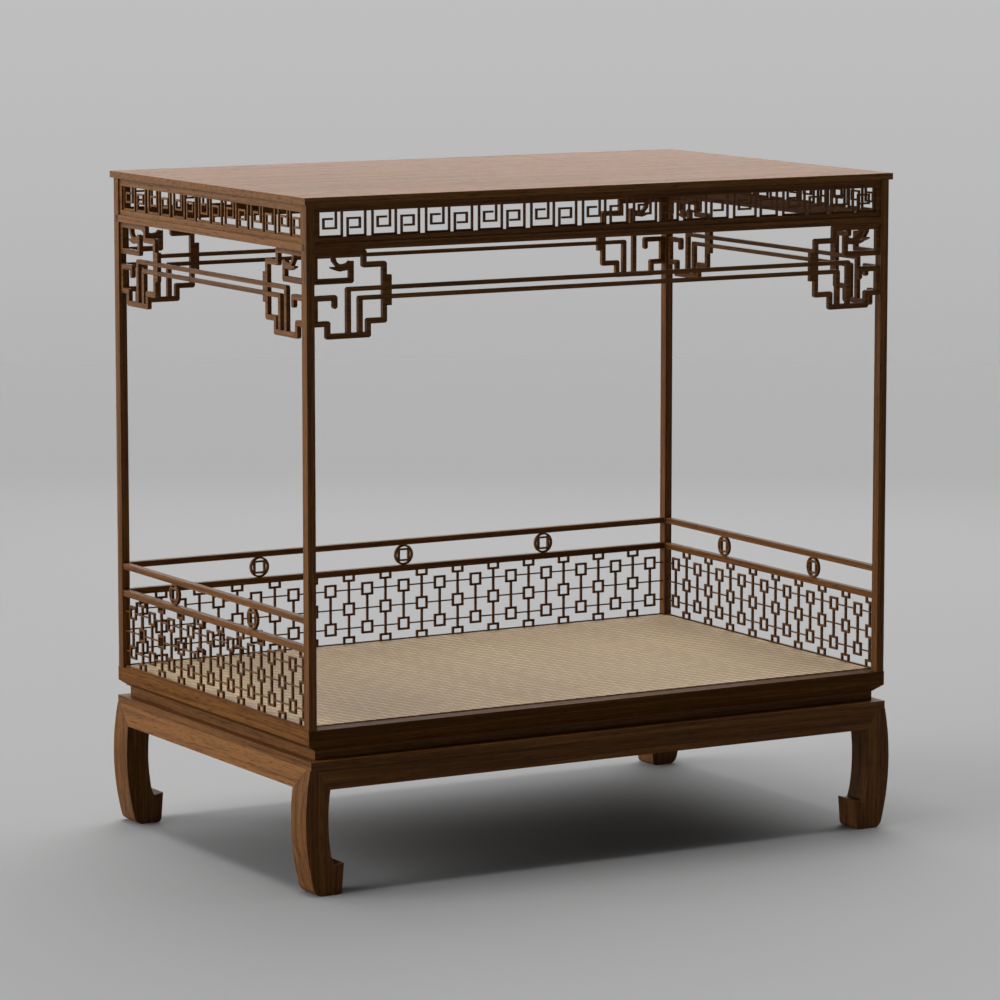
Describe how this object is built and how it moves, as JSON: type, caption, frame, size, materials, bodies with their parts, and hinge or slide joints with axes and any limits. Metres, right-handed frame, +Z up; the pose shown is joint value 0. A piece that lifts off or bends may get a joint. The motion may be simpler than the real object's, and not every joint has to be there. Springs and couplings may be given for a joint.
{
  "type": "four-post canopy bed",
  "caption": "Canopy bed on hoof feet with a waisted platform, low lattice railing on three sides, fretwork frieze and scroll brackets under a flat roof.",
  "frame": {"origin": "on the floor, under the middle of the bed", "axes": "+X along the long side, to the right for someone who faces the open front; +Y from the open front to the back railing; +Z up"},
  "size_m": [2.142, 1.3512, 2.131],
  "materials": {
    "hardwood": "satin oil over dark brown hardwood, straight grain along each member",
    "woven_mat": "matte woven cane or rush in a diagonal twill"
  },
  "bodies": {
    "root": {"apron_back": "hardwood", "apron_front": "hardwood", "apron_left": "hardwood", "apron_right": "hardwood", "bracket_back_end": "hardwood", "bracket_back_start": "hardwood", "bracket_front_end": "hardwood", "bracket_front_start": "hardwood", "bracket_left_end": "hardwood", "bracket_left_start": "hardwood", "bracket_right_end": "hardwood", "bracket_right_start": "hardwood", "frame_rail_back": "hardwood", "frame_rail_front": "hardwood", "frame_rail_left": "hardwood", "frame_rail_right": "hardwood", "fret_panel_back": "hardwood", "fret_panel_front": "hardwood", "fret_panel_left": "hardwood", "fret_panel_right": "hardwood", "lattice_back": "hardwood", "lattice_left": "hardwood", "lattice_rail_back": "hardwood", "lattice_rail_left": "hardwood", "lattice_rail_right": "hardwood", "lattice_right": "hardwood", "ledge_back": "hardwood", "ledge_front": "hardwood", "ledge_left": "hardwood", "ledge_right": "hardwood", "leg_back_left": "hardwood", "leg_back_right": "hardwood", "leg_front_left": "hardwood", "leg_front_right": "hardwood", "lower_rail_back": "hardwood", "lower_rail_front": "hardwood", "lower_rail_left": "hardwood", "lower_rail_right": "hardwood", "post_back_left": "hardwood", "post_back_right": "hardwood", "post_front_left": "hardwood", "post_front_right": "hardwood", "railing_medallions": "hardwood", "roof_battens": "hardwood", "roof_board": "hardwood", "seat_braces": "hardwood", "seat_panel": "hardwood", "sleeping_mat": "woven_mat", "top_rail_back": "hardwood", "top_rail_left": "hardwood", "top_rail_right": "hardwood", "twin_rods_back": "hardwood", "twin_rods_front": "hardwood", "twin_rods_left": "hardwood", "twin_rods_right": "hardwood", "waist_back": "hardwood", "waist_front": "hardwood", "waist_left": "hardwood", "waist_right": "hardwood"}
  },
  "joints": []
}
